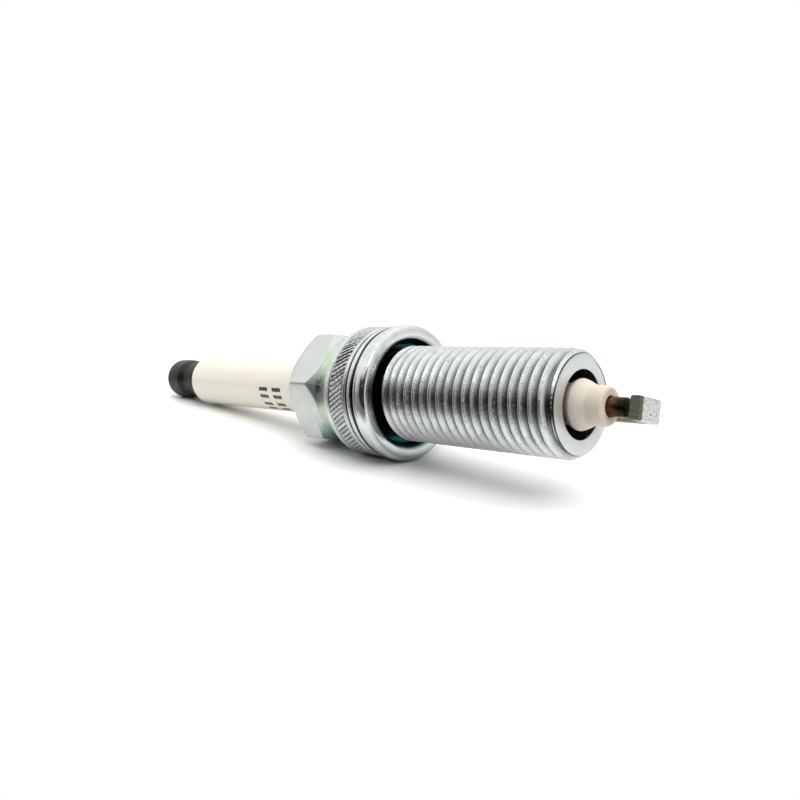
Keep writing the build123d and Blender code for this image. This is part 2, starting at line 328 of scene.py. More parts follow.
class NodeTree:
    """Short names for the nodes of one shader tree."""

    def __init__(self, tree):
        self.tree = tree

    def new(self, kind, **settings):
        made = self.tree.nodes.new(kind)
        for key, value in settings.items():
            setattr(made, key, value)
        return made

    def link(self, source, target):
        self.tree.links.new(source, target)

    def feed(self, target, value):
        if hasattr(value, "is_output"):
            self.link(value, target)
        else:
            target.default_value = value

    def math(self, operation, a, b=0.0, c=0.0):
        made = self.new("ShaderNodeMath", operation=operation)
        for target, value in zip(made.inputs, (a, b, c)):
            self.feed(target, value)
        return made.outputs[0]

    def place(self):
        """Where the surface is, in millimetres: x, y, z and the whole vector."""
        coordinate = self.new("ShaderNodeTexCoord").outputs["Object"]
        scale = self.new("ShaderNodeVectorMath", operation="SCALE")
        self.link(coordinate, scale.inputs[0])
        scale.inputs["Scale"].default_value = 1 / MM
        split = self.new("ShaderNodeSeparateXYZ")
        self.link(scale.outputs[0], split.inputs[0])
        return split.outputs[0], split.outputs[1], split.outputs[2], scale.outputs[0]

    def vector(self, x, y, z):
        made = self.new("ShaderNodeCombineXYZ")
        for target, value in zip(made.inputs, (x, y, z)):
            self.feed(target, value)
        return made.outputs[0]

    def stretch(self, vector, x, y, z):
        made = self.new("ShaderNodeVectorMath", operation="MULTIPLY")
        self.link(vector, made.inputs[0])
        made.inputs[1].default_value = (x, y, z)
        return made.outputs[0]

    def noise(self, vector, scale, detail=3.0, rough=0.55, distort=0.0):
        made = self.new("ShaderNodeTexNoise")
        self.link(vector, made.inputs["Vector"])
        made.inputs["Scale"].default_value = scale
        made.inputs["Detail"].default_value = detail
        made.inputs["Roughness"].default_value = rough
        made.inputs["Distortion"].default_value = distort
        return made.outputs["Fac"]

    def ramp(self, value, stops):
        """A colour ramp; stops are (position, colour or grey)."""
        made = self.new("ShaderNodeValToRGB")
        self.link(value, made.inputs[0])
        while len(made.color_ramp.elements) < len(stops):
            made.color_ramp.elements.new(0.5)
        for element, (position, colour) in zip(made.color_ramp.elements, stops):
            element.position = position
            grey = isinstance(colour, (int, float))
            element.color = (colour, colour, colour, 1) if grey else (*colour, 1)
        return made.outputs[0]

    def mix(self, amount, a, b):
        made = self.new("ShaderNodeMix", data_type="RGBA")
        self.feed(made.inputs[0], amount)
        for target, value in ((made.inputs[6], a), (made.inputs[7], b)):
            self.feed(target, value if hasattr(value, "is_output") else (*value, 1))
        return made.outputs[2]

    def range(self, value, low, high, to_low, to_high):
        made = self.new("ShaderNodeMapRange")
        for target, number in zip(made.inputs[1:5], (low, high, to_low, to_high)):
            target.default_value = number
        self.link(value, made.inputs[0])
        return made.outputs[0]

    def bump(self, height, distance_mm, below=None):
        made = self.new("ShaderNodeBump")
        made.inputs["Strength"].default_value = 1.0
        made.inputs["Distance"].default_value = distance_mm * MM
        self.link(height, made.inputs["Height"])
        if below is not None:
            self.link(below, made.inputs["Normal"])
        return made.outputs[0]


class Nodes(NodeTree):
    """The node tree of one new material."""

    def __init__(self, name):
        self.material = bpy.data.materials.new(name)
        self.material.use_nodes = True
        super().__init__(self.material.node_tree)
        self.shader = self.tree.nodes["Principled BSDF"]

    def finish(self, colour=None, rough=None, normal=None, **numbers):
        for socket, value in (("Base Color", colour), ("Roughness", rough), ("Normal", normal)):
            if value is not None:
                self.feed(self.shader.inputs[socket], value)
        for name, value in numbers.items():
            self.shader.inputs[name.replace("_", " ")].default_value = value
        return self.material


def from_axis(n, y, z):
    """Distance from the plug's axis."""
    return n.math("SQRT", n.math("ADD", n.math("MULTIPLY", y, y), n.math("MULTIPLY", z, z)))


def round_axis(n, x, y, z, along, around):
    """Coordinates for marks that run round the axis, with their scales along and around it."""
    angle = n.math("ARCTAN2", z, y)
    return n.vector(
        n.math("MULTIPLY", x, along),
        n.math("MULTIPLY", n.math("SINE", angle), around),
        n.math("ADD", n.math("MULTIPLY", n.math("COSINE", angle), around), from_axis(n, y, z)),
    )


def between(n, value, low, high, edge):
    """1 where the value lies between low and high, with edges that fade over a distance."""
    rise = n.range(value, low - edge, low, 0.0, 1.0)
    return n.math("MULTIPLY", rise, n.range(value, high, high + edge, 1.0, 0.0))


def zinc_surface(n, rough, pit):
    """Colour, roughness and normal of bright zinc: fine pits, turning marks and scratches.

    rough is the lowest and highest roughness, and pit the depth of the grain in millimetres.
    """
    x, y, z, place = n.place()
    stain = n.noise(place, 0.55, 4, 0.6, 0.3)
    grain = n.noise(place, 5.0, 3, 0.65)
    marks = n.noise(round_axis(n, x, y, z, 11.0, 1.2), 1.0, 3, 0.6)
    scratch = n.noise(n.stretch(place, 1.0, 4.0, 12.0), 0.9, 2, 0.5, 0.8)
    pits = n.range(n.noise(place, 3.4, 3, 0.6), 0.63, 0.72, 0.0, 1.0)
    colour = n.mix(n.range(stain, 0.35, 0.7, 0.0, 1.0), (0.74, 0.76, 0.75), (0.58, 0.61, 0.59))
    colour = n.mix(n.math("MULTIPLY", pits, 0.35), colour, (0.2, 0.22, 0.21))
    shine = n.math("ADD", n.math("MULTIPLY", marks, 0.5), n.math("MULTIPLY", stain, 0.5))
    normal = n.bump(grain, pit)
    normal = n.bump(pits, -1.5 * pit, normal)
    normal = n.bump(marks, pit, normal)
    normal = n.bump(scratch, pit * 0.8, normal)
    return colour, n.range(shine, 0.3, 0.7, *rough), normal


def recesses(n, x, radius):
    """Painted shade on the shell, 0 to 1: in its thread's roots, between the knurl's strokes, in the
    groove and the corner by the gasket, and a painted dark line round the face rim.
    """
    thread = between(n, x, RELIEF_SLOPE_END + 0.1, REACH - 0.4, 0.2)
    root = n.math("MULTIPLY", thread, n.range(radius, 5.2, 5.75, 0.65, 0.0))
    rolled = between(n, x, KNURL_REAR, KNURL_FRONT, 0.1)
    knurls = n.math("MULTIPLY", rolled, n.range(radius, COLLAR_R - 0.09, COLLAR_R - 0.02, 0.5, 0.0))
    groove = between(n, x, GROOVE_REAR - 0.03, GROOVE_FRONT + 0.02, 0.04)
    groove = n.math("MULTIPLY", groove, 0.97)
    corner = n.math("MULTIPLY", n.range(x, -0.46, -0.4, 0.0, 1.0), n.range(x, 0.0, 0.1, 0.97, 0.0))
    rim = n.math("MULTIPLY", between(n, x, REACH - 0.16, REACH - 0.03, 0.02), 0.9)
    rim = n.math("MULTIPLY", rim, n.range(radius, 5.0, 5.1, 0.0, 1.0))
    painted_shade = n.math("MAXIMUM", n.math("MAXIMUM", root, knurls), n.math("MAXIMUM", groove, corner))
    return n.math("MAXIMUM", painted_shade, rim)


def shell_zinc():
    """Zinc on the shell: matt on the hexagon and end face, with a painted green tint of reflected
    light on the neck, and painted shade under the neck, in the recesses and in the relief groove.
    """
    n = Nodes("zinc_plating")
    x, y, z, place = n.place()
    colour, rough, normal = zinc_surface(n, (0.11, 0.24), 0.018)
    hexagon_part = n.range(x, HEX_FRONT - 0.25, HEX_FRONT + 0.25, 1.0, 0.0)
    end_face = n.range(x, REACH - 0.06, REACH - 0.02, 0.0, 1.0)
    matt = n.math("MAXIMUM", hexagon_part, end_face)
    rough = n.math("MULTIPLY_ADD", matt, 0.2, rough)
    colour = n.mix(n.math("MULTIPLY", matt, 0.7), colour, (0.6, 0.63, 0.61))
    # Painted reflected light: a green tint, in patches, over the neck.
    patch = n.noise(place, 0.5, 3, 0.5)
    neck = between(n, x, HEX_FRONT + 0.05, COLLAR_END - 0.2, 0.3)
    neck = n.math("MULTIPLY", neck, n.range(patch, 0.3, 0.6, 0.3, 0.9))
    colour = n.mix(neck, colour, (0.48, 0.58, 0.42))
    # Painted shade: dark green-teal on the lower side of the hexagon's front and the neck.
    under = between(n, x, HEX_FRONT - 0.95, COLLAR_END - 0.2, 0.3)
    under = n.math("MULTIPLY", under, n.range(z, -5.5, -3.0, 0.85, 0.0))
    colour = n.mix(under, colour, (0.1, 0.26, 0.17))
    # Painted shade: the recesses above turn near-black.
    colour = n.mix(recesses(n, x, from_axis(n, y, z)), colour, (0.02, 0.024, 0.022))
    # Painted shade: near-black teal in the relief groove in front of the shoulder.
    relief = between(n, x, 0.12, RELIEF_END + 0.05, 0.45)
    colour = n.mix(relief, colour, (0.01, 0.03, 0.034))
    return n.finish(colour, rough, normal, Metallic=1.0)


def gasket_zinc():
    """Zinc on the gasket: smooth outside, with painted shade: greener and darker towards the bottom,
    and near-black teal inside its hole.
    """
    n = Nodes("gasket_plating")
    y, z = n.place()[1:3]
    colour, rough, normal = zinc_surface(n, (0.08, 0.16), 0.006)
    # Painted shade: greener and darker towards the bottom.
    green = n.range(z, -8.5, -4.0, 0.6, 0.0)
    colour = n.mix(green, colour, (0.36, 0.45, 0.4))
    # Painted shade: near-black teal inside the hole.
    colour = n.mix(n.range(from_axis(n, y, z), 6.75, 7.35, 1.0, 0.0), colour, (0.008, 0.05, 0.06))
    return n.finish(colour, rough, normal, Metallic=1.0)


def painted_shade_bore():
    """The unlit inside of the shell: painted shade, near-black over bare steel."""
    n = Nodes("bore_painted_shade")
    place = n.place()[3]
    patch = n.noise(place, 1.1, 4, 0.6)
    # Painted shade: near-black tones for the bore.
    colour = n.ramp(patch, ((0.3, (0.012, 0.014, 0.014)), (0.75, (0.05, 0.055, 0.055))))
    rough = n.range(patch, 0.3, 0.7, 0.45, 0.7)
    return n.finish(colour, rough, n.bump(n.noise(place, 6.0), 0.02), Metallic=0.6)


def ceramic():
    """Glazed alumina on the barrel, bare and matt on the nose, with two rows of plain bars."""
    n = Nodes("alumina")
    x, y, z, place = n.place()
    cloud = n.noise(place, 0.35, 3, 0.5)
    speck = n.noise(place, 7.0, 2, 0.5)
    glaze = n.mix(cloud, (0.71, 0.68, 0.565), (0.75, 0.725, 0.63))
    bare = n.mix(speck, (0.58, 0.52, 0.44), (0.67, 0.61, 0.53))
    is_nose = n.range(x, 5.0, 6.0, 0.0, 1.0)
    colour = n.mix(is_nose, glaze, bare)
    warm = n.range(x, NOSE_TIP_X - 0.7, NOSE_TIP_X, 0.0, 0.55)
    colour = n.mix(warm, colour, (0.6, 0.47, 0.36))
    colour = n.mix(printed_bars(n, x, y, z, place), colour, (0.025, 0.025, 0.03))
    rough = n.math("ADD", n.range(is_nose, 0.0, 1.0, 0.12, 0.55), n.math("MULTIPLY", cloud, 0.06))
    normal = n.bump(n.noise(place, 1.3, 2), 0.012)
    normal = n.bump(speck, 0.006, normal)
    return n.finish(colour, rough, normal, Subsurface_Weight=0.12, Subsurface_Scale=0.0008)


def printed_bars(n, x, y, z, place):
    """1 where the printed bars are: plain bars along the barrel in two rows, slightly worn."""
    angle = n.math("ARCTAN2", n.math("MULTIPLY", z, -1.0), n.math("MULTIPLY", y, -1.0))
    worn = n.range(n.noise(place, 4.0, 3), 0.0, 1.0, -0.12, 0.12)
    aside = None
    for degrees in BAR_ANGLES:
        gap = n.math("ABSOLUTE", n.math("SUBTRACT", angle, math.radians(degrees - 180)))
        aside = gap if aside is None else n.math("MINIMUM", aside, gap)
    across = n.math("MULTIPLY_ADD", aside, BARREL_R, worn)
    wide = n.math("LESS_THAN", across, BARREL_R * math.radians(BAR_HALF_ANGLE))
    along = None
    for row_x in BAR_ROWS:
        off = n.math("ABSOLUTE", n.math("SUBTRACT", x, row_x))
        along = off if along is None else n.math("MINIMUM", along, off)
    long = n.math("LESS_THAN", n.math("ADD", along, worn), BAR_LENGTH / 2)
    return n.math("MULTIPLY", wide, long)


def nickel_strap():
    """Nickel alloy: satin and mottled, straw-coloured at the bend, with a burnt band at its end."""
    n = Nodes("strap_nickel")
    x, y, z, place = n.place()
    mottle = n.noise(place, 3.2, 4, 0.65)
    fine = n.noise(place, 14.0, 3, 0.6)
    tones = ((0.34, (0.2, 0.2, 0.18)), (0.46, (0.52, 0.52, 0.5)), (0.66, (0.72, 0.72, 0.71)))
    colour = n.ramp(mottle, tones)
    bend = n.range(x, REACH + 3.0, ELECTRODE_TIP_X + SPARK_GAP + 0.6, 0.75, 0.0)
    tint = n.math("MULTIPLY", bend, n.range(n.noise(place, 0.6, 2), 0.35, 0.6, 0.5, 1.0))
    colour = n.mix(tint, colour, (0.36, 0.33, 0.15))
    sideways = n.math("MULTIPLY", z, -math.sin(STRAP_ANGLE))
    from_end = n.math("MULTIPLY_ADD", y, -math.cos(STRAP_ANGLE), sideways)
    burnt = between(n, from_end, 0.02 - STRAP_OVERHANG, 0.5 - STRAP_OVERHANG, 0.15)
    colour = n.mix(n.math("MULTIPLY", burnt, 0.9), colour, (0.07, 0.05, 0.012))
    end_face = n.range(from_end, -STRAP_OVERHANG, 0.06 - STRAP_OVERHANG, 0.5, 0.0)
    colour = n.mix(end_face, colour, (0.3, 0.33, 0.26))
    rough = n.range(mottle, 0.3, 0.7, 0.42, 0.24)
    normal = n.bump(mottle, 0.05)
    normal = n.bump(fine, 0.015, normal)
    return n.finish(colour, rough, normal, Metallic=1.0)


def electrode_nickel():
    """The centre electrode: dark brown heat tint with straw patches, and a sooty tip."""
    n = Nodes("electrode_nickel")
    x, _, _, place = n.place()
    patch = n.noise(place, 1.2, 3, 0.6)
    tones = ((0.35, (0.05, 0.026, 0.012)), (0.6, (0.12, 0.065, 0.02)), (0.8, (0.4, 0.25, 0.08)))
    colour = n.ramp(patch, tones)
    colour = n.mix(n.range(x, 30.3, 31.0, 0.0, 0.85), colour, (0.012, 0.011, 0.009))
    rough = n.range(patch, 0.3, 0.7, 0.22, 0.36)
    return n.finish(colour, rough, n.bump(n.noise(place, 9.0), 0.02), Metallic=1.0)


def dark_terminal():
    """The terminal's dark, worn plating, with turning marks and paler patches."""
    n = Nodes("terminal_steel")
    x, y, z, place = n.place()
    marks = n.noise(round_axis(n, x, y, z, 9.0, 1.0), 1.0, 3, 0.6)
    patch = n.noise(place, 0.9, 4, 0.6)
    tones = ((0.32, (0.03, 0.028, 0.022)), (0.6, (0.042, 0.038, 0.03)), (0.8, (0.07, 0.063, 0.052)))
    colour = n.ramp(patch, tones)
    rough = n.range(marks, 0.3, 0.7, 0.32, 0.5)
    normal = n.bump(marks, 0.02)
    return n.finish(colour, rough, n.bump(patch, 0.03, normal), Metallic=1.0)


def plain_metal(name, low, high, rough):
    """Metal with a cloudy colour between two tones and fine turning marks."""
    n = Nodes(name)
    x, y, z, place = n.place()
    cloud = n.noise(place, 1.2, 4, 0.6)
    marks = n.noise(round_axis(n, x, y, z, 10.0, 1.0), 1.0, 2, 0.5)
    spread = n.range(marks, 0.3, 0.7, rough - 0.08, rough + 0.08)
    return n.finish(n.mix(cloud, low, high), spread, n.bump(marks, 0.01), Metallic=1.0)


def fused(name, low, high, rough, scale):
    """Packed powder or fused glass: grainy, with two mixed tones and grain of that scale."""
    n = Nodes(name)
    place = n.place()[3]
    grain = n.noise(place, scale, 4, 0.7)
    colour = n.ramp(grain, ((0.38, low), (0.62, high)))
    return n.finish(colour, n.range(grain, 0.3, 0.7, rough, rough + 0.15), n.bump(grain, 0.03))


# ---------------------------------------------------------------- metal shell


def thread_drop(off):
    """How far the thread lies below its crest, at an axial distance from the crest's middle."""
    return np.interp(np.abs(off), CREST_OFFSETS, CREST_DROPS)


def crest_shift(a):
    """How far along X the crest at angle a lies from the one at CREST_ANGLE."""
    return THREAD_PITCH * (a - CREST_ANGLE) / TURN


def thread_radius(x, a):
    """The thread's radius, cut down by the lead chamfer, the relief's slope and small dents."""
    off = x - THREAD_CREST_X - crest_shift(a)
    off = off - THREAD_PITCH * np.round(off / THREAD_PITCH)
    r = THREAD_R - thread_drop(off)
    lead = FACE_R + (REACH - x) * (THREAD_R - FACE_R) / LEAD_CHAMFER
    slope = (THREAD_R - RELIEF_R) / (RELIEF_SLOPE_END - RELIEF_END)
    relief = RELIEF_R + (x - RELIEF_END) * slope
    return np.minimum(np.minimum(r, lead), relief) - dents(x, a, r)


def dents(x, a, r):
    """Small knocks along the crests; none near the thread's two ends."""
    depth = np.zeros(np.broadcast(x, a).shape)
    for dent_x, dent_a, size, deep in DENTS:
        around = THREAD_R * np.angle(np.exp(1j * (a - dent_a)))
        depth = np.maximum(depth, deep * np.exp(-((x - dent_x) ** 2 + around**2) / size**2))
    return depth * np.clip((r - THREAD_R + 0.2) / 0.2, 0, 1)


def make_dents(count):
    """Knocks at seeded places on the thread's crests: (x, angle, size, depth)."""
    rng = np.random.default_rng(DENT_SEED)
    found = []
    for _ in range(count):
        a = rng.uniform(0, TURN)
        turn = rng.integers(2, 17)
        x = THREAD_CREST_X + crest_shift(a) - THREAD_PITCH * turn
        found.append((x, a, rng.uniform(0.12, 0.3), rng.uniform(0.02, 0.07)))
    return found


DENTS = make_dents(DENT_COUNT)


def add_thread(skin):
    """The helical thread from the shell's end face back to the relief groove."""
    offsets = [-off for off in CREST_OFFSETS[-2:0:-1]] + list(CREST_OFFSETS)
    first_turn = math.floor((RELIEF_END - THREAD_CREST_X) / THREAD_PITCH) - 1
    last_turn = math.ceil((REACH - THREAD_CREST_X) / THREAD_PITCH) + 1
    turns = last_turn + 1 - first_turn
    wound = HEX_CORNER_ANGLE + TURN * np.arange(turns * COLUMNS) / COLUMNS
    a = np.tile(angles(COLUMNS), turns)
    lines = []
    for off in offsets:
        x = THREAD_CREST_X + crest_shift(wound) + THREAD_PITCH * first_turn + off
        x = np.clip(x, RELIEF_END, REACH - FACE_EDGE)
        r = thread_radius(x, a)
        lines.append(skin.add(np.column_stack([x, r * np.cos(a), r * np.sin(a)])))
    for line, next_line in zip(lines, lines[1:]):
        skin.quads(line[:-1], line[1:], next_line[1:], next_line[:-1])
    low, high = lines[-1][:-COLUMNS], lines[0][COLUMNS:]
    skin.quads(low[:-1], low[1:], high[1:], high[:-1])


def face_edge():
    """Rings over the small round between the lead chamfer and the end face."""
    start_x = REACH - FACE_EDGE
    start_r = FACE_R + FACE_EDGE * (THREAD_R - FACE_R) / LEAD_CHAMFER
    outline = rounded([(start_x, start_r), (REACH, FACE_R, 0.3), (REACH, FACE_R - 0.25)], 3)
    cut = thread_radius(start_x, angles(COLUMNS))
    return [ring(x, cut - (start_r - r), COLUMNS) for x, r in outline]


def face_and_bore():
    """Rings from the end face's edge back through the whole bore; the bore's own rings last."""
    seat_rear = LEDGE_X - (STEM_BORE_R - LEDGE_R)
    outline = rounded(
        [
            (REACH, FACE_R - 0.35),
            (REACH, BORE_R, 0.18),
            (LEDGE_X + 2.2, BORE_R, 0.2),
            (LEDGE_X + 1.7, LEDGE_R, 0.1),
            (LEDGE_X, LEDGE_R, 0.1),
            (seat_rear, STEM_BORE_R, 0.1),
            (-1.5, STEM_BORE_R, 0.3),
            (-2.4, BELLY_BORE_R, 0.3),
            (-13.55, BELLY_BORE_R, 0.1),
            (-13.9, 4.75, 0.1),
            (-13.9, CRIMP_R, 0.05),
            (CRIMP_REAR, CRIMP_R),
        ],
        2,
    )
    return turned(outline[:4], COLUMNS), turned(outline[3:], COLUMNS)


def make_strokes():
    """Seeded widths, end trims and heights of the knurl's strokes."""
    rng = np.random.default_rng(STROKE_SEED)
    widths = rng.uniform(0.55, 0.85, KNURL_STROKES)
    trims = rng.uniform(0.0, 0.3, KNURL_STROKES)
    heights = rng.uniform(0.7, 1.0, KNURL_STROKES)
    return widths, trims, heights


STROKE_WIDTHS, STROKE_TRIMS, STROKE_HEIGHTS = make_strokes()


def knurl(x, a):
    """Height of the collar's slanted strokes, each a narrow ridge with a flat top."""
    middle = (KNURL_FRONT + KNURL_REAR) / 2
    turn = a + (x - middle) * math.tan(KNURL_SLANT) / COLLAR_R
    phase = turn * KNURL_STROKES / TURN
    which = np.floor(phase).astype(int) % KNURL_STROKES
    across = np.abs(phase - np.floor(phase) - 0.5) * 2
    ridge = smooth((STROKE_WIDTHS[which] - across) / 0.25)
    reach = (KNURL_FRONT - KNURL_REAR) / 2 - STROKE_TRIMS[which]
    ends = smooth((reach - np.abs(x - middle)) / 0.3)
    return (ridge * STROKE_HEIGHTS[which] - 0.55) * KNURL_HEIGHT * ends


def collar():
    """Rings from the relief groove over the shoulder, the knurled band and the neck."""
    fine = 2 * COLUMNS
    front = rounded(
        [
            (RELIEF_END, RELIEF_R),
            (0.0, RELIEF_R, 0.15),
            (0.0, COLLAR_R - 0.5, 0.1),
            (-0.5, COLLAR_FRONT_R, 0.1),
            (GROOVE_FRONT + 0.1, COLLAR_FRONT_R, 0.1),
            (GROOVE_FRONT, GROOVE_R, 0.04),
            (GROOVE_REAR, GROOVE_R, 0.04),
            (GROOVE_REAR - 0.1, COLLAR_R, 0.1),
            (KNURL_FRONT + 0.05, COLLAR_R),
        ],
        3,
    )
    strokes = [
        ring(x, COLLAR_R + knurl(x, angles(fine)) - KNURL_SINK, fine)
        for x in np.linspace(KNURL_FRONT, KNURL_REAR, KNURL_RINGS)
    ]
    rear = rounded(
        [
            (KNURL_REAR - 0.05, COLLAR_R),
            (COLLAR_END, COLLAR_R, 0.4),
            (COLLAR_END, NECK_R, 0.35),
            (NECK_END, NECK_R, 0.6),
            (NECK_END - 0.3, NECK_R + 0.04),
        ],
        4,
    )
    return turned(front, COLUMNS) + strokes + turned(rear, COLUMNS)


def hexagon():
    """Rings over the hexagon, whose turned chamfers meet its flats along curves."""
    a = angles(COLUMNS)
    off = np.abs(np.mod(a - HEX_CORNER_ANGLE, TURN / 6) - TURN / 12)
    flat = HEX_FLATS / 2 / np.cos(off)
    corner = flat - np.log1p(np.exp((flat - HEX_CORNER_R) / HEX_SOFTNESS)) * HEX_SOFTNESS
    front_x = HEX_FRONT - (corner - HEX_FLATS / 2)
    rear_x = HEX_REAR + 0.05 + (corner - HEX_FLATS / 2) * HEX_REAR_SLOPE
    rings = [ring(HEX_FRONT + 0.17, NECK_R + 0.1, COLUMNS)]
    rings.append(ring(front_x + HEX_BEVEL, corner - HEX_BEVEL, COLUMNS))
    rings.append(ring(front_x + 0.02, corner - 0.03, COLUMNS))
    rings.append(ring(front_x - 0.1, corner, COLUMNS))
    for part in (0.2, 0.5, 0.8):
        rings.append(ring(front_x + (rear_x - front_x) * part, corner, COLUMNS))
    rings.append(ring(rear_x + 0.1, corner, COLUMNS))
    rings.append(ring(rear_x, corner - 0.03, COLUMNS))
    rings.append(ring(rear_x - 0.06, corner - 0.1, COLUMNS))
    return rings


def crimp():
    """Rings over the rolled rim behind the hexagon."""
    outline = rounded(
        [
            (HEX_REAR - 0.01, 6.82),
            (HEX_REAR - 0.03, 6.45, 0.1),
            (HEX_REAR - 0.3, 6.4, 0.2),
            (CRIMP_REAR + 0.2, 5.6, 0.35),
            (CRIMP_REAR, 4.75, 0.3),
            (CRIMP_REAR, CRIMP_R),
        ]
    )
    return turned(outline, COLUMNS)


def make_shell(plating, bore):
    """The steel shell, plated outside and with painted shade, near-black, inside its bore."""
    skin = Skin()
    add_thread(skin)
    face, inside = face_and_bore()
    skin.rings(face_edge() + face)
    skin.rings(inside, 1)
    skin.rings(collar() + hexagon() + crimp())
    return skin.make("shell", "plug", [plating, bore], ["metal_shell"])


# ---------------------------------------------------------------- other turned pieces


def make_gasket(plating):
    """The folded gasket: a flat rear sheet, a crease, and a rolled front."""
    fold = GASKET_REAR + GASKET_SHEET
    outline = rounded(
        [
            (fold, GASKET_LIP_R + 0.3),
            (fold, GASKET_LIP_R, 0.12),
            (GASKET_REAR, GASKET_LIP_R, 0.12),
            (GASKET_REAR, GASKET_R - 0.15, 0.2),
            (fold - 0.02, GASKET_R - 0.15, 0.17),
            (fold + 0.04, GASKET_R - 0.34, 0.03),
            (fold + 0.16, GASKET_R, 0.16),
            (GASKET_FRONT, GASKET_R, 0.92),
            (GASKET_FRONT, GASKET_HOLE_R, 0.92),
            (fold + 0.1, GASKET_HOLE_R, 0.3),
            (fold, GASKET_HOLE_R - 0.35, 0.1),
            (fold, GASKET_LIP_R + 0.3),
        ],
        8,
    )
    skin = Skin()
    skin.rings(turned(outline, GASKET_COLUMNS))
    return skin.make("gasket_ring", "gasket", [plating], ["gasket"])


def make_insulator(material):
    """The ceramic body, from the nose's end face round to the same face again."""
    outline = rounded(
        [
            (NOSE_TIP_X, 1.3),
            (NOSE_TIP_X, NOSE_TIP_R, 0.45),
            (27.95, 2.13, 0.8),
            (27.0, 2.6, 0.9),
            (26.4, 2.8, 0.5),
            (25.85, 2.55, 0.5),
            (25.2, 2.2, 0.6),
            (LEDGE_X + 3.0, CONE_R, 1.0),
            (LEDGE_X, CONE_R, 0.2),
            (LEDGE_X - 1.15, STEM_R, 0.2),
            (-1.3, STEM_R, 0.3),
            (-2.5, BELLY_R, 0.3),
            (-8.4, BELLY_R, 0.3),
            (-9.5, SHANK_R, 0.3),
            (-15.0, SHANK_R, 0.1),
            (-15.2, BARREL_R, 0.1),
            (-20, BARREL_R, 1.0),
            (-32, BARREL_R, 1.0),
            (BARREL_END, BARREL_R, 0.4),
            (BARREL_END, BARREL_BORE_R, 0.15),
            (5.9, BARREL_BORE_R, 0.1),
            (6.8, NOSE_BORE_R, 0.1),
            (NOSE_TIP_X, NOSE_BORE_R, 0.12),
            (NOSE_TIP_X, 1.3),
        ],
        6,
    )
    skin = Skin()
    skin.rings(turned(outline, INSULATOR_COLUMNS))
    return skin.make("insulator_body", "plug", [material], ["insulator"])


def make_centre_electrode(material):
    """The centre electrode, from its tip to its head, with the hollow for its copper core."""
    outline = rounded(
        [
            (ELECTRODE_TIP_X, 0),
            (ELECTRODE_TIP_X, ELECTRODE_R, 0.13),
            (6.8, ELECTRODE_R, 0.1),
            (6.2, ELECTRODE_HEAD_R, 0.1),
            (5.1, ELECTRODE_HEAD_R, 0.2),
            (4.7, 1.0, 0.2),
            (3.1, 0.9, 0.1),
            (3.1, CORE_R, 0.02),
            (28.2, CORE_R, 0.02),
            (28.6, 0),
        ],
        4,
    )
    skin = Skin()
    skin.rings(turned(outline, ELECTRODE_COLUMNS))
    return skin.make(
        "electrode_rod", "plug", [material], ["centre_electrode"]
    )


def make_terminal_nut(material):
    """The terminal nut, with a waist behind its front rim and a blind bore."""
    outline = rounded(
        [
            (NUT_FRONT, NUT_MOUTH_R),
            (NUT_FRONT, NUT_R - 0.02, 0.25),
            (NUT_FRONT - 1.4, NUT_R - 0.02, 0.3),
            (NUT_FRONT - 2.0, NUT_NECK_R, 0.5),
            (NUT_FRONT - 3.7, NUT_NECK_R, 0.8),
            (NUT_FRONT - 4.9, NUT_R, 0.9),
            (NUT_FRONT - 8.2, NUT_R, 1.4),
            (NUT_TIP, 1.6, 0.5),
            (NUT_TIP, 0),
        ],
        6,
    )
    bore = rounded(
        [
            (NUT_FRONT - 8.7, 0),
            (NUT_FRONT - 8.1, NUT_BORE_R, 0.05),
            (NUT_FRONT - 0.3, NUT_BORE_R, 0.05),
            (NUT_FRONT, NUT_MOUTH_R),
        ],
        2,
    )
    skin = Skin()
    skin.rings(turned(bore[:-1] + outline, NUT_COLUMNS))
    return skin.make("nut_body", "terminal_nut", [material], ["terminal_nut"])


# ---------------------------------------------------------------- ground electrode


def strap_path():
    """Middle line of the strap in its own plane: (x, out, tangent angle) up the leg and over."""
    gap_x = ELECTRODE_TIP_X + SPARK_GAP
    middle_x = gap_x + STRAP_THICK / 2
    bend = STRAP_BEND - STRAP_THICK / 2
    steps = 16
    path = []
    for x in (0.0, 0.12, 0.3, 0.6, 1.4, 2.4, middle_x - bend - REACH):
        path.append((REACH + x, STRAP_LEG_R, 0.0))
    for k in range(1, steps + 1):
        t = math.pi / 2 * k / steps
        path.append(
            (middle_x - bend + bend * math.sin(t), STRAP_LEG_R - bend + bend * math.cos(t), t)
        )
    run_from = STRAP_LEG_R - bend
    for part in (0.25, 0.5, 0.75, 0.94, 1.0):
        path.append((middle_x, run_from - (run_from + STRAP_OVERHANG) * part, math.pi / 2))
    return path


def strap_section(width, thick, round_r, steps=4):
    """A rounded rectangle as (across the width, through the thickness) points."""
    points = []
    for quarter in range(4):
        corner_w = (width / 2 - round_r) * (1 if quarter in (0, 3) else -1)
        corner_t = (thick / 2 - round_r) * (1 if quarter in (0, 1) else -1)
        for k in range(steps + 1):
            a = math.pi / 2 * (quarter + k / steps)
            points.append((corner_w + round_r * math.cos(a), corner_t + round_r * math.sin(a)))
    return points


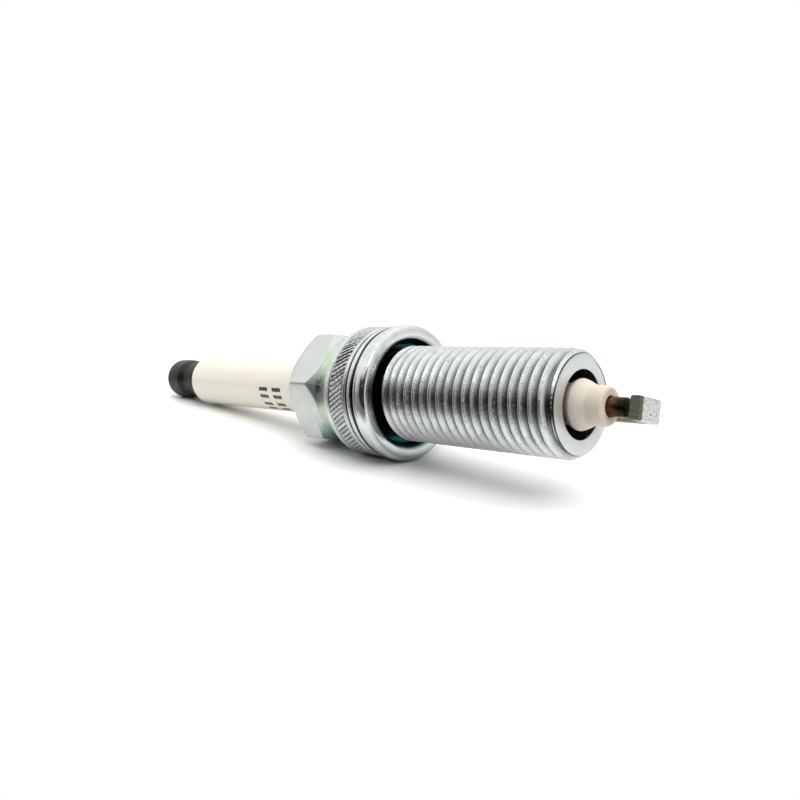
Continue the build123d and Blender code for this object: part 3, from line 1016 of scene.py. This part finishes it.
def strap_rings():
    """Rings along the strap, slightly uneven, with its leg at angle 0."""
    rng = np.random.default_rng(STRAP_SEED)
    path = strap_path()
    rings = []
    for i, (x, out, t) in enumerate(path):
        flare = STRAP_FLARE * math.exp(-((x - REACH) / STRAP_FLARE_RUN) ** 2) if t == 0 else 0.0
        pinch = STRAP_PINCH if i == len(path) - 1 else 0.0
        width = STRAP_WIDTH + 2 * flare - 2 * pinch
        thick = STRAP_THICK + 1.2 * flare - 2 * pinch
        section = np.array(strap_section(width, thick, STRAP_EDGE_R))
        section = section + rng.normal(0, STRAP_UNEVENNESS, section.shape)
        outward = np.array([math.sin(t), math.cos(t)])
        spot = np.array([x, out]) + section[:, 1:2] * outward
        rings.append(np.column_stack([spot[:, 0], spot[:, 1], section[:, 0]]))
    return rings


def make_strap(material):
    """The strap, closed at both ends and turned so that its free end points at STRAP_ANGLE."""
    rings = strap_rings()
    closed = [np.mean(rings[0], axis=0)[None]] + rings + [np.mean(rings[-1], axis=0)[None]]
    turn = math.pi + STRAP_ANGLE
    c, s = math.cos(turn), math.sin(turn)
    skin = Skin()
    skin.rings(
        [
            np.column_stack([p[:, 0], p[:, 1] * c - p[:, 2] * s, p[:, 1] * s + p[:, 2] * c])
            for p in closed
        ]
    )
    return skin.make("strap", "plug", [material], ["ground_electrode"], 50)


# ---------------------------------------------------------------- hidden pieces


def dress_hidden_nodes():
    """Materials for the CAD nodes inside the plug and for the stud."""
    steel = plain_metal("packing_steel", (0.4, 0.4, 0.4), (0.58, 0.58, 0.57), 0.35)
    seal = fused("seal_glass", (0.16, 0.08, 0.05), (0.42, 0.24, 0.16), 0.3, 3.0)
    dress = {
        "seat_washer": steel,
        "lower_wire_ring": steel,
        "upper_wire_ring": steel,
        "talc_packing": fused("talc", (0.72, 0.72, 0.69), (0.86, 0.86, 0.84), 0.75, 6.0),
        "copper_core": plain_metal("copper", (0.72, 0.34, 0.2), (0.85, 0.46, 0.3), 0.3),
        "lower_glass_seal": seal,
        "resistor": fused("resistor_body", (0.07, 0.07, 0.07), (0.2, 0.2, 0.19), 0.5, 5.0),
        "upper_glass_seal": seal,
        "terminal_stud": plain_metal("stud_steel", (0.32, 0.31, 0.29), (0.5, 0.49, 0.46), 0.32),
    }
    for name, material in dress.items():
        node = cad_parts[name]
        node.data.materials.clear()
        node.data.materials.append(material)


# ---------------------------------------------------------------- stage


def rest_plane():
    """The plane under the gasket's rim and the terminal: its upward direction and a point."""
    tilt = math.asin((GASKET_R - NUT_R) / (GASKET_TOUCH_X - NUT_TOUCH_X))
    up = Vector((math.sin(tilt), 0, math.cos(tilt)))
    touch = Vector((GASKET_TOUCH_X, 0, 0)) - up * GASKET_R
    return up, touch * MM


def make_floor(up, touch):
    """White paper that ends a little way in front of the plug; there, mirror rays see it near-black,
    a painted dark reflection on the metal.
    """
    front = Vector((0.7, -0.7, 0.0))
    front = (front - up * front.dot(up)).normalized()
    side = up.cross(front)
    near, far = FLOOR_FRONT_M, FLOOR_FAR_M
    corners = [
        touch + front * a + side * b
        for a, b in ((near, far), (-far, far), (-far, -far), (near, -far))
    ]
    mesh = bpy.data.meshes.new("floor")
    mesh.from_pydata(corners, [], [(0, 1, 2, 3)])
    floor = bpy.data.objects.new("floor", mesh)
    bpy.context.scene.collection.objects.link(floor)
    n = Nodes("floor_paper")
    _, y, _, place = n.place()
    cloud = n.noise(place, 0.02, 2)
    colour = n.mix(cloud, (0.9, 0.9, 0.9), (0.93, 0.93, 0.93))
    # Painted reflection: seen in mirrors, the paper in front turns near-black.
    mirrored = n.new("ShaderNodeLightPath").outputs["Is Glossy Ray"]
    painted_dark_reflection = n.math("MULTIPLY", mirrored, n.range(y, -15.0, -23.0, 0.2, 0.9))
    colour = n.mix(painted_dark_reflection, colour, (0.04, 0.042, 0.041))
    mesh.materials.append(n.finish(colour, 0.45, Specular_IOR_Level=0.35))


def make_camera(up):
    """A camera 100 mm from the shoulder, off the firing end and a little above the plug."""
    data = bpy.data.cameras.new("camera")
    camera = bpy.data.objects.new("camera", data)
    bpy.context.scene.collection.objects.link(camera)
    forward = CAMERA_FORWARD.normalized()
    right = forward.cross(up).normalized()
    above = right.cross(forward)
    turn = Matrix((right, above, -forward)).transposed()
    camera.matrix_world = Matrix.Translation(CAMERA_PLACE * MM) @ turn.to_4x4()
    data.lens = CAMERA_LENS
    data.sensor_width = CAMERA_SENSOR
    data.clip_start = 0.005
    data.clip_end = 20
    bpy.context.scene.camera = camera


def soft_sun(name, toward, spread, strength, mirrored=True):
    """A distant soft light from a direction; spread is its width in degrees.

    One that isn't mirrored leaves no highlight on metal or glaze.
    """
    data = bpy.data.lights.new(name, "SUN")
    data.energy = strength
    data.angle = math.radians(spread)
    lamp = bpy.data.objects.new(name, data)
    bpy.context.scene.collection.objects.link(lamp)
    lamp.visible_glossy = mirrored
    lamp.rotation_mode = "QUATERNION"
    lamp.rotation_quaternion = Vector(toward).to_track_quat("Z", "Y")


def make_lights():
    """Broad soft light from above and a weak one from the front."""
    soft_sun("top_light", (0.45, 0.0, 1.0), 70, 1.9, mirrored=False)
    soft_sun("front_light", (0.7, -0.35, 0.75), 16, 0.3)


def make_world():
    """A studio: white behind and at the sides, and in front dark below, white above."""
    world = bpy.data.worlds.new("studio")
    bpy.context.scene.world = world
    world.use_nodes = True
    n = NodeTree(world.node_tree)
    n.tree.nodes.clear()
    direction = n.new("ShaderNodeTexCoord").outputs["Generated"]
    split = n.new("ShaderNodeSeparateXYZ")
    n.link(direction, split.inputs[0])
    x, y, height = split.outputs
    front = n.ramp(height, ((0.0, 0.02), (0.42, 0.05), (0.56, 1.0)))
    facing = n.math("MULTIPLY_ADD", x, 0.25, n.math("MULTIPLY", y, -0.97))
    behind = n.range(facing, 0.35, 0.62, 1.0, 0.0)
    light = n.mix(behind, front, n.range(height, 0.2, 0.9, 0.9, 1.35))
    seen = n.new("ShaderNodeBackground")
    seen.inputs[0].default_value = (1, 1, 1, 1)
    glow = n.new("ShaderNodeBackground")
    n.link(light, glow.inputs[0])
    path = n.new("ShaderNodeLightPath")
    pick = n.new("ShaderNodeMixShader")
    n.link(path.outputs["Is Camera Ray"], pick.inputs[0])
    n.link(glow.outputs[0], pick.inputs[1])
    n.link(seen.outputs[0], pick.inputs[2])
    out = n.new("ShaderNodeOutputWorld")
    n.link(pick.outputs[0], out.inputs[0])


def main():
    """Makes the stage, then the pieces, then the materials of the hidden nodes."""
    up, touch = rest_plane()
    make_camera(up)
    make_floor(up, touch)
    make_lights()
    make_world()
    bpy.context.scene.view_settings.view_transform = "Standard"
    make_shell(shell_zinc(), painted_shade_bore())
    make_gasket(gasket_zinc())
    make_insulator(ceramic())
    make_centre_electrode(electrode_nickel())
    make_strap(nickel_strap())
    make_terminal_nut(dark_terminal())
    dress_hidden_nodes()


main()
